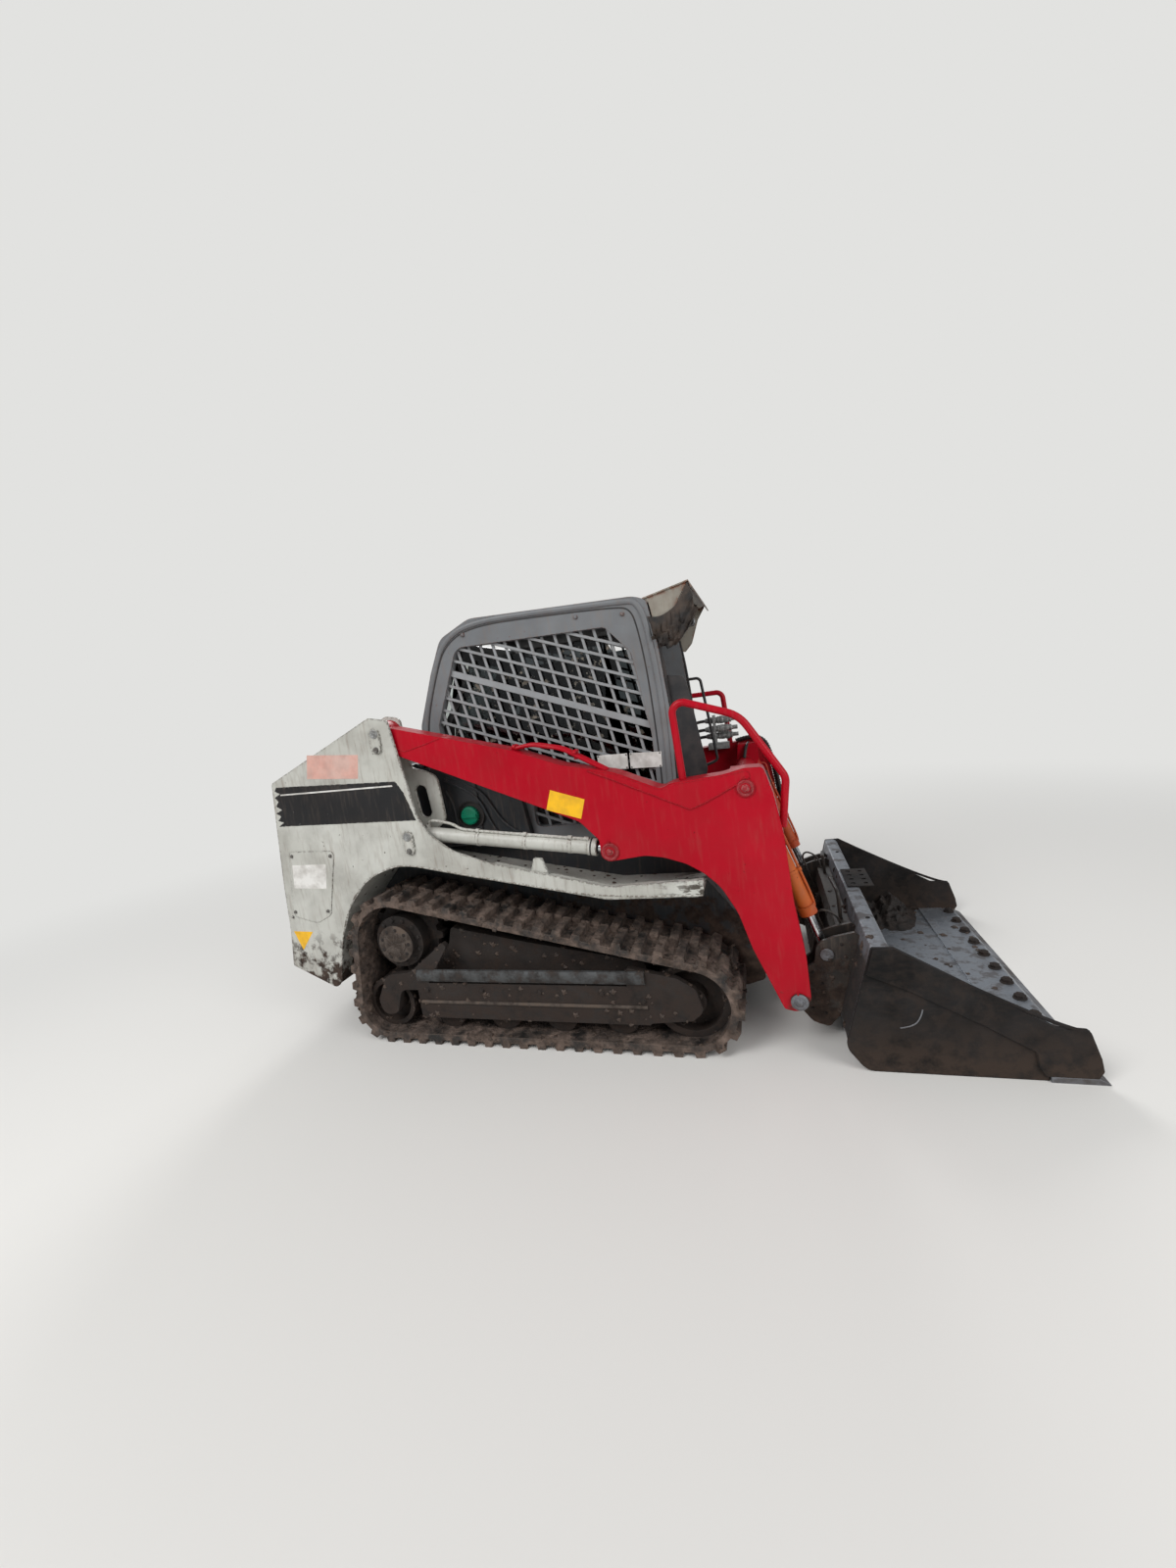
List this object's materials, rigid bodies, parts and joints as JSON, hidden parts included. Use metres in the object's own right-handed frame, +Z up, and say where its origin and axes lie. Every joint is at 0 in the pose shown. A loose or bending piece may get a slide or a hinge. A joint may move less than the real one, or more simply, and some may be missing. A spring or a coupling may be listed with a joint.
{
  "type": "compact track loader",
  "caption": "Compact track loader: rubber tracks, mesh-sided cab, radial-lift arms with a deep knee, and a low-profile bucket with a bolted cutting edge.",
  "frame": {"origin": "on the ground, halfway along the machine from the rear bumper to the cutting edge, on its middle plane", "axes": "+X forward to the bucket, +Y to the machine's left, +Z up"},
  "size_m": [3.4428, 1.55, 1.9727],
  "materials": {
    "rubber_track": "muddy moulded rubber",
    "undercarriage": "mud-caked dark paint",
    "white_paint": "chipped off-white enamel",
    "dark_paint": "worn dark grey enamel",
    "grey_paint": "mid-grey enamel with rust chips",
    "red_paint": "bright red enamel, scratched",
    "hood_paint": "black enamel",
    "engine_iron": "cast and painted",
    "glass": "clear",
    "lamp": "clear lens in black housing",
    "seat_vinyl": "black vinyl",
    "black_plastic": "moulded black",
    "green_plastic": "green moulded cap",
    "chrome_rod": "hard-chromed rod",
    "rusty_paint": "rusted orange-red paint",
    "coupling_steel": "grimy plated steel",
    "bucket_paint": "black paint worn to steel",
    "edge_steel": "ground-worn steel"
  },
  "bodies": {
    "chassis": {"track_left": "rubber_track", "track_right": "rubber_track", "track_wheels_left": "undercarriage", "track_wheels_right": "undercarriage", "sprocket_left": "undercarriage", "sprocket_right": "undercarriage", "track_frame_left": "undercarriage", "track_frame_right": "undercarriage", "tower_outer_left": "white_paint", "tower_outer_right": "white_paint", "tower_inner_left": "white_paint", "tower_inner_right": "white_paint", "fender_deck_left": "white_paint", "fender_deck_right": "white_paint", "side_panel_left": "dark_paint", "side_panel_right": "dark_paint", "cab_side_left": "grey_paint", "cab_side_right": "grey_paint", "cab_mesh_left": "grey_paint", "cab_mesh_right": "grey_paint", "main_frame": "dark_paint", "rear_bumper": "dark_paint", "rear_header": "white_paint", "door_hinges": "dark_paint", "firewall": "dark_paint", "engine": "engine_iron", "fuel_cap": "green_plastic", "cab_roof": "grey_paint", "cab_rear": "grey_paint", "rear_window": "glass", "visor": "grey_paint", "work_lamps": "lamp", "cab_floor": "dark_paint", "seat_frame": "black_plastic", "seat_cushion": "seat_vinyl", "seat_back": "seat_vinyl", "consoles": "black_plastic", "restraint_bar": "black_plastic", "entry_handles": "grey_paint"},
    "arms": {"arm_left": "red_paint", "arm_right": "red_paint", "cross_tube": "red_paint", "hose_guards": "red_paint", "hose_lines": "red_paint", "couplers": "coupling_steel"},
    "lift_barrel": {"lift_barrels": "white_paint"},
    "lift_rod": {"lift_rods": "chrome_rod"},
    "tilt_barrel": {"tilt_barrels": "rusty_paint"},
    "tilt_rod": {"tilt_rods": "chrome_rod"},
    "bucket": {"bucket_side_left": "bucket_paint", "bucket_side_right": "bucket_paint", "hitch": "dark_paint", "hitch_levers": "dark_paint", "bucket_shell": "bucket_paint", "cutting_edge": "edge_steel", "wear_plates": "edge_steel", "bucket_step": "bucket_paint"},
    "door": {"rear_door": "hood_paint"},
    "lid": {"hood": "hood_paint"}
  },
  "joints": [
    {"name": "arm_lift", "type": "hinge", "parent": "chassis", "child": "arms", "pos_m": [-0.98, 0, 1.5], "axis": [0, -1, 0], "range_deg": [0, 74]},
    {"name": "bucket_tilt", "type": "hinge", "parent": "arms", "child": "bucket", "pos_m": [0.749, 0, 0.229], "axis": [0, 1, 0], "range_deg": [-25, 100]},
    {"name": "lift_barrel_swing", "type": "hinge", "parent": "chassis", "child": "lift_barrel", "pos_m": [-0.9, 0, 1.016], "axis": [0, -1, 0], "range_deg": [0, 66.94]},
    {"name": "lift_rod_slide", "type": "slide", "parent": "lift_barrel", "child": "lift_rod", "axis": [0.9909, 0, -0.1346], "range_m": [0, 0.5715]},
    {"name": "tilt_barrel_swing", "type": "hinge", "parent": "arms", "child": "tilt_barrel", "pos_m": [0.62, 0, 1.11], "axis": [0, 1, 0], "range_deg": [-1.05, 3.3]},
    {"name": "tilt_rod_slide", "type": "slide", "parent": "tilt_barrel", "child": "tilt_rod", "axis": [0.3255, 0, -0.9455], "range_m": [-0.0696, 0.2725]},
    {"name": "rear_door_swing", "type": "hinge", "parent": "chassis", "child": "door", "pos_m": [-1.63518, -0.652, 0.94], "axis": [0.0964, 0, 0.9953], "range_deg": [0, 95]},
    {"name": "hood_swing", "type": "hinge", "parent": "chassis", "child": "lid", "pos_m": [-0.969, 0, 1.318], "axis": [0, 1, 0], "range_deg": [0, 60]}
  ],
  "couplings": [
    {"joint": "lift_barrel_swing", "follows": "arm_lift", "ratio": 0.8979},
    {"joint": "lift_rod_slide", "follows": "arm_lift", "m_per_rad": 0.4402},
    {"joint": "tilt_barrel_swing", "follows": "bucket_tilt", "ratio": 0.03},
    {"joint": "tilt_rod_slide", "follows": "bucket_tilt", "m_per_rad": 0.155}
  ]
}
